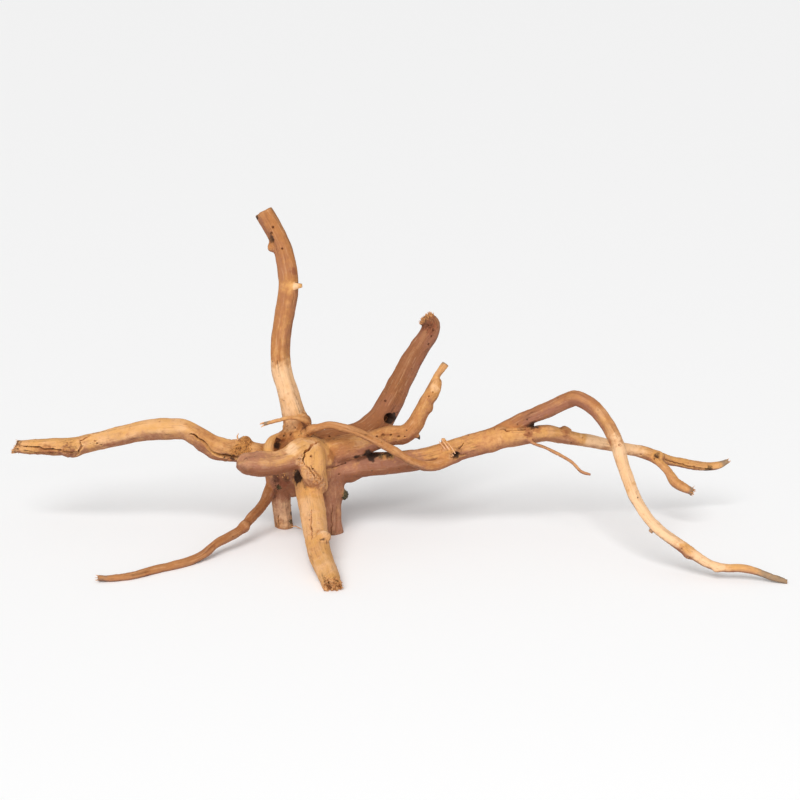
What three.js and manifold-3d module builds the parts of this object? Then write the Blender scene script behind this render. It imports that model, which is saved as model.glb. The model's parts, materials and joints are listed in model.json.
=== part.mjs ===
// A driftwood root: one grown piece of pale, water-worn wood, standing on two sawn feet and three root tips.
// Millimetres, +Z up, -Y towards the front, origin on the ground under the middle of the bounding box.
import * as THREE from "three";
import { mergeVertices } from "three/addons/utils/BufferGeometryUtils.js";
import Module from "manifold-3d";

const wasm = await Module();
wasm.setup();

// Driving sizes
const GROUND = 0; // the feet and the root tips are flat here
const SIDE = 4.8; // each side of a limb's girth is about this wide
const RING_GAP = 1.2; // rings along a limb stand this many radii apart
const LEAST_GAP = 5; // but no closer than this on the thin rootlets
const FLUTE = 0.05; // how deep the long flutes of a limb are, as a share of its radius
const WIND = 0.012; // turn of the flutes round the limb, radians for each mm along it

// Routes run from the crown outwards; each point is [x, y, z, radius].
const LIMBS = {
  tallArm: {
    route: [
      [-64, 32, 60, 14], [-67, 34, 80, 10.8], [-71, 36, 96, 8.8], [-76, 38, 114, 7.8], [-80, 40, 131, 7.5],
      [-80, 43, 150, 7.5], [-76, 46, 172, 7.6], [-73, 49, 196, 7.7], [-77, 52, 219, 7.4], [-84, 54, 235, 7.3],
      [-92, 56, 249, 7],
    ],
    end: "sawn",
  },
  backArm: {
    route: [
      [-60, 36, 62, 14], [-40, 44, 66, 12.5], [-20, 52, 70, 11.4], [-5, 60, 80, 10.8], [5, 69, 95, 10],
      [13.5, 78, 110, 9], [21.5, 86, 124, 8.6], [30, 92, 136, 8], [36.5, 96, 145, 7.6], [37.6, 99, 151, 7],
      [34, 100, 155.6, 5.8],
    ],
    end: "broken",
  },
  thumb: {
    route: [
      [-48, 31, 60, 13], [-30, 28, 68, 10.6], [-17, 28, 71, 9], [-5, 30, 75, 7.9], [6, 30, 78, 7.8],
      [16, 30, 79, 7.3], [23, 31, 85, 6.6], [28, 32, 94, 6], [33, 33, 104, 5.6], [38, 35, 112, 5.4],
      [40, 36, 117, 4.6],
    ],
    end: "worn",
  },
  thumbTwig: {
    route: [[36, 37, 112, 3], [39, 37, 120, 2.6], [43.6, 37, 127, 2.5], [48, 38, 133, 2.6]],
    end: "sawn",
  },
  longArm: {
    route: [
      [-48, 32, 50, 13], [-27, 32, 52, 10.4], [-7, 32, 53, 9.3], [12, 32, 55, 8.6], [32, 32, 58, 8.4],
      [50, 32, 63, 8.2], [67, 31, 69, 8], [83, 30, 74, 8], [96, 29, 79, 7.8], [106, 29.5, 79.6, 5.8],
    ],
    end: "worn",
  },
  upperFork: {
    route: [
      [88, 32, 77, 6.8], [109, 31.5, 90, 6], [121, 28.5, 96, 5.9], [133, 24, 103, 6], [142, 22, 108, 6],
      [148, 18, 111, 6.1], [156, 14, 108, 5.9], [164, 8, 102, 5.9], [171, 0, 93, 5.7], [176, -10, 83, 5.5],
      [179, -20, 73, 5.1], [183, -30, 62, 4.8], [189, -40, 50, 4.6], [197, -50, 39, 4.4], [205, -58, 31, 4.2],
      [217, -66, 22, 4.2], [227, -72, 16, 3.7], [237, -76, 11, 3.4], [248, -79, 9, 3.1], [260, -80, 9, 2.9],
      [270, -82, 7.4, 2.8], [281, -84, 4, 2.4], [291, -86, 1.2, 1.8],
    ],
    end: "worn",
  },
  lowerFork: {
    route: [
      [92, 27, 76.2, 7.4], [111, 27.5, 78.2, 6.3], [126, 32, 77.4, 5.8], [138, 38, 75, 5.7], [149, 41, 72, 5.2],
      [162, 44, 69, 4.9], [176, 47, 65, 4.7], [189, 50, 61, 4.6], [204, 54, 57, 4.8], [217, 58, 52, 4.6],
      [229, 62, 47, 4], [247, 68, 42, 3.6], [260, 72, 39, 3.4], [270, 74, 39, 3.2], [279, 76, 42, 1.8],
    ],
    end: "broken",
  },
  sideTwig: {
    route: [
      [210, 56, 55, 4], [219, 50, 49, 3.7], [225, 44, 43, 3.8], [230, 40, 36, 4], [236, 36, 33, 3.8],
      [243, 33, 30, 2.8],
    ],
    end: "broken",
  },
  splinter: { route: [[47, 32, 64, 3], [47, 31, 70, 2.4], [46, 30, 75, 1.2]], end: "broken" },
  armSpur: { route: [[-75, 45, 192.4, 3.6], [-70, 43, 193, 2.6], [-64.6, 42.4, 193.6, 1.9]], end: "worn" },
  forkSpur: { route: [[203, -54, 33, 3], [200.5, -51, 28.5, 2.2], [198.5, -49.5, 25.5, 1.6]], end: "worn" },
  thumbSpur: { route: [[22, 31, 81, 4], [25, 31, 77.5, 2.2], [27.5, 31, 75.5, 1.6]], end: "broken" },
  lowerLip: {
    route: [[-142, 27, 70, 4.6], [-132, 24, 65, 4.8], [-120, 23, 63, 4.5], [-106, 25, 63, 4.5]],
    end: "worn",
  },
  hairRoot: {
    route: [
      [106, 28, 79, 2.3], [116, 20, 74, 1.5], [125, 14, 72, 1.2], [143, 6, 64, 1], [151, 2, 57, 0.9],
      [158, 0, 55, 0.8],
    ],
    end: "worn",
  },
  crossingRoot: {
    route: [
      [-68, 28, 70, 4.7], [-58, 20, 84, 3.7], [-50, 16, 88, 3.1], [-41, 12, 91, 2.9], [-31, 8, 90, 3],
      [-20, 6, 87, 3.1], [-10, 6, 82, 3.1], [0, 8, 76, 3.1], [11, 10, 69, 3.2], [21, 12, 62, 3.4],
      [31, 17, 57, 3.7], [41, 22, 56, 4.3], [54, 29, 60, 5],
    ],
    end: "worn",
  },
  wrapTwig: {
    route: [
      [-58, 34, 76, 2.8], [-59, 24, 89, 2.5], [-65, 19.6, 93.6, 2.1], [-72, 18, 95, 1.8], [-80, 15, 94, 1.6],
      [-91, 12, 92, 1.6],
    ],
    end: "worn",
  },
  club: {
    route: [
      [-50, 24, 62, 13], [-63, 8, 69, 11.6], [-73, 0, 66.4, 9.4], [-83, -6, 65.4, 8.8], [-93, -10, 66.4, 9.9],
      [-101, -13, 67.5, 8.8],
    ],
    end: "worn",
  },
  shoulder: {
    route: [[-60, 24, 68, 11.6], [-56, 8, 66, 11.4], [-55, 3, 58, 10.4], [-52, 10, 44, 8.6]],
    end: "worn",
  },
  brow: { route: [[-91, 26, 60, 8], [-84, 27, 68, 8.4], [-74, 30, 76, 8.2], [-66, 32, 86, 9]], end: "worn" },
  pocketRim: {
    route: [[-72, 34, 76, 5], [-80, 21, 79, 3.7], [-86, 10, 79, 3.4], [-88, 2, 75, 3.8], [-86, -4, 67, 4.6]],
    end: "worn",
  },
  core: { route: [[-80, 32, 46, 12], [-62, 32, 50, 17], [-46, 33, 53, 16.5], [-30, 34, 50, 12]], end: "worn" },
  leftFoot: {
    route: [[-76, 30, 54, 12], [-79, 32, 40, 9.8], [-81, 34, 27, 7.6], [-80, 36, 10, 7], [-79, 37, -6, 7]],
    end: "sawn",
  },
  footWeb: { route: [[-74, 32, 50, 10], [-72, 30, 40, 7.8], [-71, 28, 34, 5.6]], end: "worn" },
  rightFoot: {
    route: [[-44, 30, 48, 14], [-44, 29, 34, 11], [-44, 27, 22, 8.6], [-42, 25, 8, 8.2], [-40, 24, -6, 8.8]],
    end: "sawn",
  },
  heel: {
    route: [[-44, 38, 50, 13], [-43, 38, 34, 10], [-43, 37, 18, 8.4], [-42, 36, 4, 8.2], [-42, 36, -6, 8.4]],
    end: "sawn",
  },
  frontLeg: {
    route: [
      [-60, 32, 52, 11], [-58, 12, 39, 10.2], [-54, -10, 28, 9.6], [-50, -34, 18, 8.8], [-46, -58, 10, 8.5],
      [-40, -80, 6, 7.8], [-36, -98, 3, 6.6],
    ],
    end: "broken",
    reference: [1, 0, 0],
  },
  leftArm: {
    route: [
      [-72, 32, 56, 10], [-88, 29, 61, 8.2], [-103, 26, 65, 7.9], [-114, 24, 66, 8], [-129, 24, 70, 8],
      [-143, 26, 77, 7.7], [-155, 28, 83, 8], [-170, 30, 83, 8.4], [-186, 34, 81, 8.2], [-205, 36, 76, 7.6],
      [-225, 38, 71, 7.2], [-244, 40, 66, 7.1], [-256, 42, 65, 6.9], [-272, 42, 65, 6.2], [-290, 44, 64, 5],
    ],
    end: "broken",
    slant: [0, 0, -0.8],
  },
  leftRoot: {
    route: [
      [-76, 34, 54, 6], [-84, 33, 47, 4.7], [-86, 31, 38, 4.2], [-89, 27, 31, 4.1], [-93, 22, 25, 3.9],
      [-98, 15, 21, 3.8], [-103, 6, 18, 3.7], [-110, -7, 13, 3.7], [-118, -18, 11, 3.6], [-126, -27, 9, 3.6],
      [-134, -38, 5, 3.5], [-142, -46, 3, 3.4], [-151, -54, 2.5, 3.2], [-161, -61, 2.5, 3.1],
      [-171, -68, 2.4, 2.9], [-179, -75, 2.2, 2.7], [-187, -79, 2, 2.4], [-196, -82, 2, 2.2], [-206, -84, 3, 1.6],
    ],
    end: "worn",
  },
};

// Swellings on the limbs, as ellipsoids: [x, y, z, rx, ry, rz].
const KNOTS = [
  [-86.2, 52, 222, 3.2, 3.4, 4], // left edge of the tall arm, near its top
  [-246, 38, 65, 10, 6.4, 8], // the bulge by the left arm's end
  [-108, 25, 70, 6.6, 7, 8.6], // corky lumps where the left arm leaves the crown
  [-100, 23, 68, 6, 6.6, 7.2],
  [-115, 24, 68, 6.6, 7, 7.2],
  [-107, -5, 15, 4.6, 4.2, 4.4], // bend of the left root
  [-46, -45, 21, 5.4, 5, 3.6], // side knot on the front leg
  [-34.2, 24, 29.5, 4, 4.4, 5], // button on the right foot
  [34.6, 33, 99, 4, 4, 4.6], // outer edge of the thumb
  [39.6, 34.6, 114.6, 4.6, 4.4, 5.6], // knob at the thumb's end
  [54, 27.4, 65, 8, 5.6, 5.8], // broken knot on the long arm
  [142, 38, 78, 5.4, 4.4, 4.4], // top of the lower fork
  [218, 56, 52, 5.4, 5, 4.8], // where the side twig leaves
  [223, -70, 17, 3.8, 3.6, 4.2], // knot low on the upper fork
  [243, -79, 8.4, 4.4, 3, 3],
];

// Hollows, as ellipsoids.
const HOLLOWS = [
  [-81.8, 11, 75, 2.9, 9, 5.6], // the pocket between brow, rim and club
  [4.4, 55, 84.6, 4.9, 8, 4.3], // rot hole low on the back arm
  [56.4, 21.4, 64.4, 5, 4.8, 4.2], // mouth of the long arm's broken knot
  [-45.6, -50.4, 18.6, 3.4, 3, 2.8], // under the front leg's side knot
  [-66.5, 5, 52.6, 7, 9, 4.6], // recess between club and front leg
  [-88.4, 47.6, 228, 3.2, 3, 5.4], // above the knot on the tall arm
];

// Open cracks: a line on the skin, the way into the wood, and the width and depth at its middle.
const CRACKS = [
  {
    line: [[-61, -6, 67], [-60, -2.4, 73], [-57.5, 0, 75], [-54.7, 5, 76.5], [-48, 18, 77]],
    into: [-0.4, 0.6, -0.6],
    width: 2,
    depth: 6,
  },
  {
    line: [[-149, 20, 82], [-141, 18, 77], [-132.6, 17.5, 68], [-127.6, 17.3, 65.5], [-112, 17, 62.8]],
    into: [0, 1, 0.1],
    width: 2,
    depth: 5,
  },
  {
    line: [[-285, 39, 66.6], [-266, 36, 64.6], [-240, 33, 63.4]],
    into: [0, 1, 0],
    width: 1.6,
    depth: 3.5,
  },
  {
    line: [[86, 25, 83], [91, 24, 84.2], [98, 22, 84.2], [110, 21.5, 84.4]],
    into: [0, 1, -0.1],
    width: 2,
    depth: 6,
  },
  {
    line: [[-84, 30, 12], [-84, 30.4, 6], [-83.7, 30.6, -2]],
    into: [0.2, 1, 0],
    width: 1.6,
    depth: 4,
  },
  {
    line: [[-55, -19, 34], [-54.6, -24, 31], [-54, -38, 24], [-52, -48, 20]],
    into: [0.2, 0.4, -0.9],
    width: 1.8,
    depth: 3,
  },
];

// The closed surface of a geometry, as a solid that can be joined and cut.
function solid(geometry) {
  const bare = new THREE.BufferGeometry()
    .setAttribute("position", geometry.getAttribute("position"))
    .setIndex(geometry.getIndex());
  const tight = mergeVertices(bare, 1e-4);
  return new wasm.Manifold(
    new wasm.Mesh({
      numProp: 3,
      vertProperties: new Float32Array(tight.getAttribute("position").array),
      triVerts: new Uint32Array(tight.getIndex().array),
    }),
  );
}

// One limb: a closed tube along its route, its girth following the radii, its skin lightly fluted.
// A broken end is ragged, and a slant makes it run out further on one side.
function limb({ route, end, reference = [0, 1, 0], slant = [0, 0, 0] }, number) {
  const line = new THREE.CatmullRomCurve3(route.map(([x, y, z]) => new THREE.Vector3(x, y, z)));
  const girth = new THREE.SplineCurve(route.map(([, , , r], i) => new THREE.Vector2(i, r)));
  const middle = girth.getPoint(0.5).y;
  const sides = Math.max(6, Math.min(13, Math.round((2 * Math.PI * middle) / SIDE)));
  const length = line.getLength();
  const rings = Math.max(3, Math.round(length / Math.max(LEAST_GAP, middle * RING_GAP)));
  const lean = new THREE.Vector3(...slant);
  const points = [];
  const faces = [];
  let across = null;
  const ring = (t, swell, forward, ragged) => {
    const centre = line.getPoint(t);
    const along = line.getTangent(t);
    if (!across) across = new THREE.Vector3().crossVectors(along, new THREE.Vector3(...reference));
    across.addScaledVector(along, -across.dot(along)).normalize();
    const up = new THREE.Vector3().crossVectors(across, along);
    const r = girth.getPoint(t).y;
    for (let k = 0; k < sides; k++) {
      const turn = (2 * Math.PI * k) / sides;
      const phase = number * 1.7 + WIND * length * t;
      const fluted = 1 + FLUTE * Math.sin(3 * turn + phase) + 0.6 * FLUTE * Math.sin(5 * turn - 2 * phase);
      const far = r * fluted * swell;
      const off = new THREE.Vector3()
        .addScaledVector(across, far * Math.cos(turn))
        .addScaledVector(up, far * Math.sin(turn));
      const ahead = r * forward + ragged * (r * Math.sin(2.4 * k + number) + 2 * off.dot(lean));
      points.push(centre.clone().add(off).addScaledVector(along, ahead));
    }
  };
  for (let i = 0; i <= rings; i++) {
    ring(line.getUtoTmapping(i / rings), 1, 0, i === rings && end === "broken" ? 0.45 : 0);
  }
  if (end === "worn") {
    ring(1, 0.82, 0.35, 0);
    ring(1, 0.45, 0.62, 0);
  }
  if (end === "broken") ring(1, 0.55, -0.1, 0.6);
  const rows = points.length / sides;
  for (let i = 0; i + 1 < rows; i++) {
    for (let k = 0; k < sides; k++) {
      const a = i * sides + k;
      const b = i * sides + ((k + 1) % sides);
      faces.push(a, a + sides, b, b, a + sides, b + sides);
    }
  }
  const first = points.length;
  const last = first + 1;
  const tip = line.getPoint(1);
  if (end === "worn") tip.addScaledVector(line.getTangent(1), 0.7 * girth.getPoint(1).y);
  points.push(line.getPoint(0), tip);
  for (let k = 0; k < sides; k++) {
    const next = (k + 1) % sides;
    faces.push(first, k, next, last, (rows - 1) * sides + next, (rows - 1) * sides + k);
  }
  const geometry = new THREE.BufferGeometry().setFromPoints(points);
  geometry.setIndex(faces);
  return solid(geometry);
}

function ellipsoid([x, y, z, rx, ry, rz]) {
  return solid(new THREE.SphereGeometry(1, 8, 5).scale(rx, ry, rz).translate(x, y, z));
}

// One crack: a wedge that follows its line, widest in the middle and closing at both ends.
function crack({ line, into, width, depth }) {
  const route = new THREE.CatmullRomCurve3(line.map((p) => new THREE.Vector3(...p)));
  const inward = new THREE.Vector3(...into).normalize();
  const steps = 2 * line.length;
  const points = [];
  const faces = [];
  for (let i = 0; i <= steps; i++) {
    const centre = route.getPointAt(i / steps);
    const side = new THREE.Vector3().crossVectors(route.getTangentAt(i / steps), inward).normalize();
    const open = 0.15 + 0.85 * Math.sin((Math.PI * i) / steps);
    const mouth = centre.clone().addScaledVector(inward, -depth * 0.6);
    points.push(
      mouth.clone().addScaledVector(side, width * 0.8 * open),
      mouth.clone().addScaledVector(side, -width * 0.8 * open),
      centre.clone().addScaledVector(inward, depth * open),
    );
    if (i < steps) {
      for (let k = 0; k < 3; k++) {
        const a = 3 * i + k;
        const b = 3 * i + ((k + 1) % 3);
        faces.push(a, b, a + 3, b, b + 3, a + 3);
      }
    }
  }
  faces.push(0, 2, 1, 3 * steps, 3 * steps + 1, 3 * steps + 2);
  const geometry = new THREE.BufferGeometry().setFromPoints(points);
  geometry.setIndex(faces);
  return solid(geometry);
}

const join = (pieces) => pieces.reduce((whole, piece) => whole.add(piece));
const ground = solid(new THREE.BoxGeometry(800, 800, 60).translate(0, 0, GROUND - 30));
const grown = join([...Object.values(LIMBS).map(limb), ...KNOTS.map(ellipsoid)])
  .subtract(join([...HOLLOWS.map(ellipsoid), ...CRACKS.map(crack)]))
  .subtract(ground);
// The cuts can leave a loose speck or a bubble inside, so the one great body is kept.
const wood = grown.decompose().sort((a, b) => b.volume() - a.volume())[0];

const skin = wood.getMesh();
const geometry = new THREE.BufferGeometry();
geometry.setAttribute("position", new THREE.BufferAttribute(skin.vertProperties, 3));
geometry.setIndex(new THREE.BufferAttribute(skin.triVerts, 1));
geometry.computeVertexNormals();
const wornWood = new THREE.MeshStandardMaterial({ color: 0xbe8a55, roughness: 0.75, metalness: 0 });
const mesh = new THREE.Mesh(geometry, wornWood);
mesh.name = "driftwood_root";
const group = new THREE.Group();
group.add(mesh);

export default group;
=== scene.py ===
"""A driftwood root with its grain, checks, worm holes, rotten knots and broken ends. Metres, +Z up."""
import json
from contextlib import contextmanager

import bmesh
import bpy
import numpy as np
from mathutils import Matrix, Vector, kdtree

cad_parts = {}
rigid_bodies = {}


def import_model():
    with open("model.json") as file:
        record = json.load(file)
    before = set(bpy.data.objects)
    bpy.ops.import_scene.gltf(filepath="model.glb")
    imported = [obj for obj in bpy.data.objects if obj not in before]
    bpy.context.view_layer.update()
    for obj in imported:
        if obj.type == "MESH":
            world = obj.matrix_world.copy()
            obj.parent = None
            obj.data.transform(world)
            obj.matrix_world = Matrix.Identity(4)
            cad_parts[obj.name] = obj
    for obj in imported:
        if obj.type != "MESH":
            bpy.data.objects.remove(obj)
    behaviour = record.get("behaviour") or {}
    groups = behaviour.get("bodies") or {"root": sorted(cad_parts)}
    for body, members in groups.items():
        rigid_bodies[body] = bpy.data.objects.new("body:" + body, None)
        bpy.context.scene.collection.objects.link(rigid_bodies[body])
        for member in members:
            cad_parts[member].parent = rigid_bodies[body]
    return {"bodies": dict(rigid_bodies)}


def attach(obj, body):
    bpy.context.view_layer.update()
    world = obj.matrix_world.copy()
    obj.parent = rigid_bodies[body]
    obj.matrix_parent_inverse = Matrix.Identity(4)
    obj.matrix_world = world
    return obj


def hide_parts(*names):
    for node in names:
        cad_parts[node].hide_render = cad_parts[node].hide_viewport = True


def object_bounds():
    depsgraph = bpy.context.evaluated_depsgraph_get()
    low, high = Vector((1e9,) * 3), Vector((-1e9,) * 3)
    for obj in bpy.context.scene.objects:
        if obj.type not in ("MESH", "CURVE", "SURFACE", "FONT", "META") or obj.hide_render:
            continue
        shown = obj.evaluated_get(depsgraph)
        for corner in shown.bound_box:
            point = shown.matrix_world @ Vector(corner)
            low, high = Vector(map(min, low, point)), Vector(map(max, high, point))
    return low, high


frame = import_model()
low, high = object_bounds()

MM = 0.001

# The skin's mesh in millimetres: the side of its cells, and the least radius that still joins up.
CELL = 1.55
THINNEST = 1.7

# How finely the limbs' centre lines and the cracks are stepped, in millimetres, how many points are
# measured at a time, and how far apart in the grain's pattern two limbs lie, so that none repeats another.
LIMB_STEP = 1.5
CRACK_STEP = 2.5
BATCH = 4096
GRAIN_APART = 37.0

# Half the side of the paper floor, in metres.
FLOOR = 40

# Where the photograph was taken from, what its middle shows, and how narrow its view is.
CAMERA_PLACE = Vector((0.0125, -1.1789, 0.4299))
CAMERA_AIM = Vector((0.0125, 0.0285, 0.1064))
CAMERA_LENS = 72.7

# Routes of the limbs in millimetres, from the crown outwards: [x, y, z, radius].
# Each limb also has the way its tip ends and how softly it grows out of its neighbours.
LIMBS = {
    "tall_arm": ("sawn", 4.5, [
        [-64, 32, 60, 14], [-67, 34, 80, 10.8], [-71, 36, 96, 8.8], [-76, 38, 114, 7.8],
        [-80, 40, 131, 7.5], [-80, 43, 150, 7.5], [-76, 46, 172, 7.6], [-73, 49, 196, 7.7],
        [-77, 52, 219, 7.4], [-84, 54, 235, 7.3], [-92, 56, 249, 7]]),
    "back_arm": ("broken", 5, [
        [-60, 36, 62, 14], [-40, 44, 66, 12.5], [-20, 52, 70, 11.4], [-5, 60, 80, 10.8],
        [5, 69, 95, 10], [13.5, 78, 110, 9], [21.5, 86, 124, 8.6], [30, 92, 136, 8],
        [36.5, 96, 145, 7.6], [37.6, 99, 151, 7], [34, 100, 155.6, 5.8]]),
    "thumb": ("worn", 3.5, [
        [-48, 31, 60, 13], [-30, 28, 68, 10.6], [-17, 28, 71, 9], [-5, 30, 75, 7.9], [6, 30, 78, 7.8],
        [16, 30, 79, 7.3], [23, 31, 85, 6.6], [28, 32, 94, 6], [33, 33, 104, 5.6], [38, 35, 112, 5.4],
        [40, 36, 117, 4.6]]),
    "thumb_twig": ("sawn", 2, [
        [36, 37, 112, 3], [39, 37, 120, 2.6], [43.6, 37, 127, 2.5], [48, 38, 133, 2.6]]),
    "long_arm": ("worn", 4, [
        [-48, 32, 50, 13], [-27, 32, 52, 10.4], [-7, 32, 53, 9.3], [12, 32, 55, 8.6], [32, 32, 58, 8.4],
        [50, 32, 62.6, 8.7], [67, 31, 68.4, 8.7], [83, 30, 73.2, 9], [95, 29, 77.8, 8.4],
        [104, 30, 80.6, 5.4]]),
    "upper_fork": ("worn", 1.6, [
        [76, 31, 72, 6.4], [92, 32, 79.4, 6.8], [109, 31.5, 90, 6], [121, 28.5, 96, 5.9],
        [133, 24, 103, 6], [142, 22, 108, 6], [148, 18, 111, 6.1], [156, 14, 108, 5.9],
        [164, 8, 102, 5.9], [171, 0, 93, 5.7], [176, -10, 83, 5.5], [178.6, -20, 73, 5],
        [182, -30, 62, 4.5], [186.6, -40, 50, 4.2], [194.2, -50, 39, 4.1], [202.6, -58, 31, 4],
        [217, -66, 22, 4.2], [227, -72, 16, 3.7], [237, -76, 11, 3.4], [248, -79, 9, 3.1],
        [260, -80, 9, 2.9], [270, -82, 7.4, 2.8], [281, -84, 4, 2.4], [291, -86, 1.2, 1.8]]),
    "lower_fork": ("broken", 1.6, [
        [76, 29, 71.6, 6.6], [92, 27.6, 76, 7.3], [111, 27.5, 78.2, 6.7], [126, 32, 79.2, 6.3],
        [138, 38, 75.4, 5.9], [149, 41, 72, 5.2], [162, 44, 69, 4.9], [176, 47, 65, 4.7],
        [189, 50, 61, 4.6], [204, 54, 57, 4.8], [217, 58, 52, 4.6], [229, 62, 47, 4],
        [247, 68, 42, 3.6], [260, 72, 39, 3.4], [270, 74, 39, 3.2], [279, 76, 42, 1.8]]),
    "side_twig": ("broken", 1.8, [
        [212, 56, 53, 3.4], [219, 50, 48.6, 3.1], [225, 44, 43, 3.3], [230, 40, 36, 4],
        [236, 36, 33, 3.8], [243, 33, 30, 2.8]]),
    "splinter": ("worn", 1.5, [[47, 32, 64, 3], [47, 31, 70, 2.4], [46, 30, 75, 1.2]]),
    "arm_spur": ("worn", 1.4, [[-75, 45, 192.4, 3.6], [-70, 43, 193, 2.6], [-64.6, 42.4, 193.6, 1.9]]),
    "fork_spur": ("worn", 2, [[200.4, -54, 33, 3], [199, -52, 29.4, 2.2], [198, -51, 27.4, 1.5]]),
    "thumb_spur": ("worn", 2, [[22, 31, 81, 4], [25, 31, 77.5, 2.2], [27.5, 31, 75.5, 1.6]]),
    "lower_lip": ("worn", 1.2, [
        [-142, 27, 70, 4.6], [-132, 24, 65, 4.8], [-120, 23, 63, 4.5], [-106, 25, 63, 4.5]]),
    "hair_root": ("worn", 2, [
        [106, 28, 79, 2.3], [116, 20, 74, 1.5], [125, 14, 72, 1.2], [143, 6, 64, 1], [151, 2, 57, 0.9],
        [158, 0, 55, 0.8]]),
    "crossing_root": ("worn", 2.4, [
        [-68, 28, 70, 4.7], [-58, 20, 84, 3.7], [-50, 16, 88, 3.1], [-41, 12, 91, 2.9], [-31, 8, 90, 3],
        [-20, 6, 87, 3.1], [-10, 6, 82, 3.1], [0, 8, 76, 3.1], [11, 10, 69, 3.2], [21, 12, 62, 3.4],
        [31, 17, 57, 3.7], [41, 22, 56, 4.3], [54, 29, 60, 5]]),
    "wrap_twig": ("worn", 2, [
        [-58, 34, 76, 2.8], [-59, 24, 89, 2.5], [-65, 19.6, 93.6, 2.1], [-72, 18, 95, 1.8],
        [-80, 15, 94, 1.6], [-91, 12, 92, 1.6]]),
    "club": ("worn", 3, [
        [-50, 24, 62, 13], [-63, 8, 69, 11.6], [-73, 0, 66.4, 9.4], [-83, -6, 65.4, 8.8],
        [-93, -10, 66.4, 9.9], [-101, -13, 67.5, 8.8]]),
    "shoulder": ("worn", 3.6, [
        [-60, 24, 68, 11.6], [-56, 8, 66, 11.4], [-55, 3, 58, 10.4], [-52, 10, 44, 8.6]]),
    "brow": ("worn", 3.5, [[-91, 26, 60, 8], [-84, 27, 68, 8.4], [-74, 30, 76, 8.2], [-66, 32, 86, 9]]),
    "pocket_rim": ("worn", 2.4, [
        [-72, 34, 76, 5], [-80, 21, 79, 3.7], [-86, 10, 79, 3.4], [-88, 2, 75, 3.8], [-86, -4, 67, 4.6]]),
    "core": ("worn", 4.5, [
        [-80, 32, 46, 12], [-62, 32, 50, 17], [-46, 33, 53, 16.5], [-30, 34, 50, 12]]),
    "left_foot": ("sawn", 4, [
        [-76, 30, 54, 12], [-79, 32, 40, 9.8], [-81, 34, 27, 7.6], [-80, 36, 10, 7], [-79, 37, -6, 7]]),
    "foot_web": ("worn", 4, [[-74, 32, 50, 10], [-72, 30, 40, 7.8], [-71, 28, 34, 5.6]]),
    "right_foot": ("sawn", 4.5, [
        [-44, 30, 48, 14], [-43.2, 29, 34, 11.6], [-43, 27, 22, 9.2], [-42, 25, 8, 8.2],
        [-40, 24, -6, 8.8]]),
    "heel": ("sawn", 4.5, [
        [-44, 38, 50, 13], [-43, 38, 34, 10], [-43, 37, 18, 8.4], [-42, 36, 4, 8.2], [-42, 36, -6, 8.4]]),
    "front_leg": ("broken", 4, [
        [-60, 32, 52, 11], [-58, 12, 39, 10.2], [-54, -10, 28, 9.6], [-50, -34, 18, 8.8],
        [-46, -58, 10, 8.5], [-40, -80, 6, 7.8], [-35.6, -99.4, 3, 6.7]]),
    "left_arm": ("broken", 4, [
        [-72, 32, 56, 10], [-88, 29, 61, 8.2], [-103, 26, 65, 7.9], [-114, 24, 66, 8],
        [-129, 24, 70, 8], [-143, 26, 77, 7.7], [-155, 28, 83, 8], [-170, 30, 83, 8.4],
        [-186, 34, 81, 8.2], [-205, 36, 76, 7.6], [-225, 38, 71, 7.2], [-244, 40, 66, 7.1],
        [-256, 42, 65, 6.9], [-272, 42, 65, 6.2], [-290, 44, 64, 5]]),
    "left_root": ("broken", 3, [
        [-76, 34, 54, 6], [-86.5, 33, 47, 5.2], [-88.5, 31, 38, 4.8], [-91, 27, 31, 4.5],
        [-94, 22, 25, 4], [-98, 15, 21, 3.8], [-103, 6, 18, 3.7], [-110, -7, 13, 3.7],
        [-118, -18, 11, 3.6], [-126, -27, 9, 3.6], [-134, -38, 5, 3.5], [-142, -46, 3, 3.4],
        [-151, -54, 2.5, 3.2], [-161, -61, 2.5, 3.1], [-171, -68, 2.4, 2.9], [-179, -75, 2.2, 2.7],
        [-187, -79, 2, 2.7], [-196, -82, 2, 2.7], [-206, -84, 3, 2.1]]),
}

# Swellings: the middle, the three radii and how softly they swell.
KNOTS = [
    [-86.2, 52, 222, 3.2, 3.4, 4, 3], [-246, 38, 65, 10, 6.4, 8, 3], [-108, 25, 70, 6.6, 7, 8.6, 3],
    [-100, 23, 66.4, 7, 6.2, 6.4, 5], [-115, 24, 68, 6.6, 7, 7.2, 3], [-107, -5, 15, 4.6, 4.2, 4.4, 3],
    [-44.2, -46.4, 21.4, 6, 5, 4.8, 0.8], [-32.2, 27, 30, 3.8, 4, 4.6, 0.8],
    [34.6, 33, 99, 4, 4, 4.6, 3], [39.6, 34.6, 114.6, 4.6, 4.4, 5.6, 1.4],
    [54, 27.4, 65, 8, 5.6, 5.8, 3], [142, 38, 78, 5.4, 4.4, 4.4, 2], [218, 56, 52, 5.4, 5, 4.8, 3],
    [223, -70, 17, 3.8, 3.6, 4.2, 3], [243, -79, 8.4, 4.4, 3, 3, 2],
]

# Rotted hollows: the middle and the three radii.
HOLLOWS = [
    [-81.8, 11, 75, 2.9, 9, 5.6], [-45.4, -51.6, 18.4, 4.2, 3.4, 3], [-66.5, 5, 52.6, 7, 9, 4.6],
    [-88.4, 47.6, 228, 3.2, 3, 5.4], [-62, 19, 84, 3, 3, 4], [217.6, 51, 54.4, 2.6, 3, 1.8],
]

# The way in which a broken end is cut back further.
SLANTS = {"left_arm": (0, 0, 1.0)}

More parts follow.
